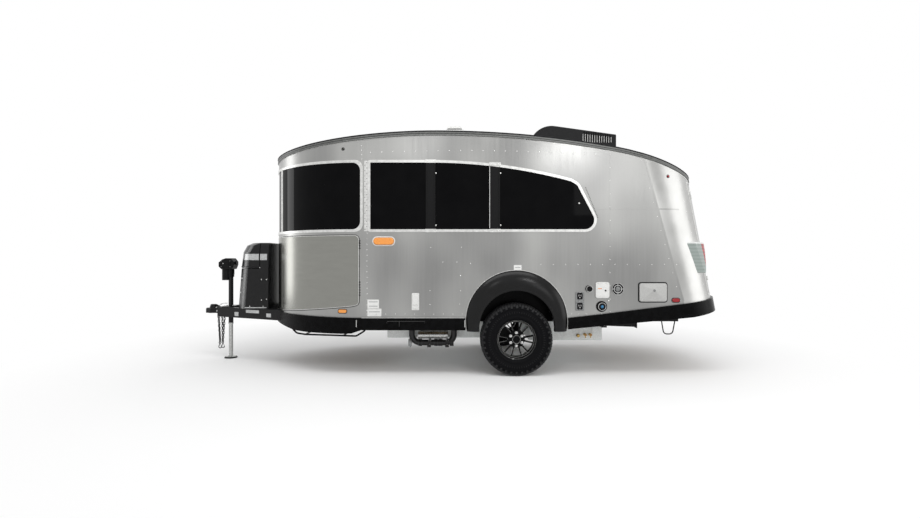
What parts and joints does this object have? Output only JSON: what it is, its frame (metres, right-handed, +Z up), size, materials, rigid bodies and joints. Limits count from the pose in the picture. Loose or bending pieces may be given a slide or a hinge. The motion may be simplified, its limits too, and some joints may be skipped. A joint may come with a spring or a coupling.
{
  "type": "single-axle travel caravan",
  "caption": "Travel caravan with a riveted aluminium body, wrap-round front window, rear hatch, A-frame tongue with jack, black fenders and all-terrain tyres.",
  "frame": {"origin": "on the ground, on the centreline, half-way between the coupler's nose and the rear skirt", "axes": "+X to the rear, +Y to the kerb (door) side, +Z up"},
  "size_m": [6.091, 2.15, 2.858],
  "materials": {
    "aluminium_skin": "satin rolled aluminium sheet",
    "white_roof": "white membrane roof",
    "black_plastic": "black moulded plastic",
    "tinted_glass": "dark tinted glass",
    "polished_steel": "brushed stainless sheet",
    "black_moulding": "satin black moulding",
    "black_steel": "black painted steel",
    "plywood": "sealed plywood",
    "white_parts": "white plastic",
    "grey_tank": "grey sheet-clad tank",
    "pipe_plastic": "black pipe",
    "tyre": "black rubber",
    "black_alloy": "black painted alloy with bright edges",
    "zinc_steel": "zinc plated steel",
    "lamp_lens": "red lens",
    "amber_lens": "amber lens",
    "bright_frame": "bright extruded aluminium",
    "chain_steel": "zinc plated chain",
    "grey_metal": "grey painted metal"
  },
  "bodies": {
    "root": {"floor": "plywood", "nose_shell": "aluminium_skin", "wall_street": "aluminium_skin", "wall_kerb": "aluminium_skin", "rear_corners": "aluminium_skin", "rear_frame": "aluminium_skin", "roof": "white_roof", "roof_trim": "black_plastic", "front_glass": "tinted_glass", "side_glass": "tinted_glass", "stone_guards": "polished_steel", "skirt_front": "black_moulding", "skirt_sides": "black_moulding", "skirt_rear": "black_moulding", "flares": "black_moulding", "wheel_wells": "black_moulding", "main_rails": "black_steel", "cross_members": "black_steel", "tongue_rails": "black_steel", "coupler": "black_steel", "jack_tube": "black_steel", "jack_head": "black_plastic", "gas_cover": "black_plastic", "gas_bottles": "white_parts", "axle": "black_steel", "tanks": "grey_tank", "waste_pipe": "pipe_plastic", "stabiliser_mounts": "black_steel", "step_frame": "black_steel", "air_conditioner": "black_plastic", "vent_base": "white_parts", "tail_lamps": "lamp_lens", "window_frames": "bright_frame", "window_strips": "black_plastic", "safety_chains": "chain_steel", "drain_tube": "grey_metal", "nose_hoop": "black_steel", "tow_loops": "black_steel", "white_fittings": "white_parts", "grey_fittings": "grey_metal", "black_sockets": "black_plastic", "amber_markers": "amber_lens", "red_markers": "lamp_lens"},
    "wheel_street": {"tyre_street": "tyre", "rim_street": "black_alloy"},
    "wheel_kerb": {"tyre_kerb": "tyre", "rim_kerb": "black_alloy"},
    "entry_door": {"entry_door": "aluminium_skin", "door_glass": "tinted_glass"},
    "rear_hatch": {"rear_hatch": "aluminium_skin", "hatch_glass": "tinted_glass"},
    "gas_lid": {"gas_lid": "black_plastic"},
    "jack_leg": {"jack_leg": "zinc_steel"},
    "stabiliser_street": {"stabiliser_street": "black_steel"},
    "stabiliser_kerb": {"stabiliser_kerb": "black_steel"},
    "entry_step": {"step": "black_steel"},
    "vent_lid": {"vent_lid": "white_parts"},
    "service_door": {"service_door": "white_parts"}
  },
  "joints": [
    {"name": "wheel_street_spin", "type": "hinge", "parent": "root", "child": "wheel_street", "pos_m": [0.757, -0.9275, 0.387], "axis": [0, 1, 0], "continuous": true},
    {"name": "wheel_kerb_spin", "type": "hinge", "parent": "root", "child": "wheel_kerb", "pos_m": [0.757, 0.9275, 0.387], "axis": [0, 1, 0], "continuous": true},
    {"name": "entry_door_hinge", "type": "hinge", "parent": "root", "child": "entry_door", "pos_m": [-0.797, 1.023, 1.5], "axis": [0, 0, 1], "range_deg": [0, 130]},
    {"name": "rear_hatch_hinge", "type": "hinge", "parent": "root", "child": "rear_hatch", "pos_m": [2.826, 0, 2.09], "axis": [0, -1, 0], "range_deg": [0, 85]},
    {"name": "gas_lid_hinge", "type": "hinge", "parent": "root", "child": "gas_lid", "pos_m": [-2.244, 0, 1.446], "axis": [0, 1, 0], "range_deg": [0, 70]},
    {"name": "jack_travel", "type": "slide", "parent": "root", "child": "jack_leg", "axis": [0, 0, 1], "range_m": [0, 0.35]},
    {"name": "stabiliser_street_fold", "type": "hinge", "parent": "root", "child": "stabiliser_street", "pos_m": [1.79, -0.64, 0.5], "axis": [0, 1, 0], "range_deg": [0, 75]},
    {"name": "stabiliser_kerb_fold", "type": "hinge", "parent": "root", "child": "stabiliser_kerb", "pos_m": [1.79, 0.64, 0.5], "axis": [0, 1, 0], "range_deg": [0, 75]},
    {"name": "step_travel", "type": "slide", "parent": "root", "child": "entry_step", "axis": [0, 1, 0], "range_m": [0, 0.3]},
    {"name": "vent_lid_hinge", "type": "hinge", "parent": "root", "child": "vent_lid", "pos_m": [-0.128, 0, 2.756], "axis": [0, -1, 0], "range_deg": [0, 60]},
    {"name": "service_door_hinge", "type": "hinge", "parent": "root", "child": "service_door", "pos_m": [2.206, -1.023, 0.7925], "axis": [1, 0, 0], "range_deg": [0, 90]}
  ]
}
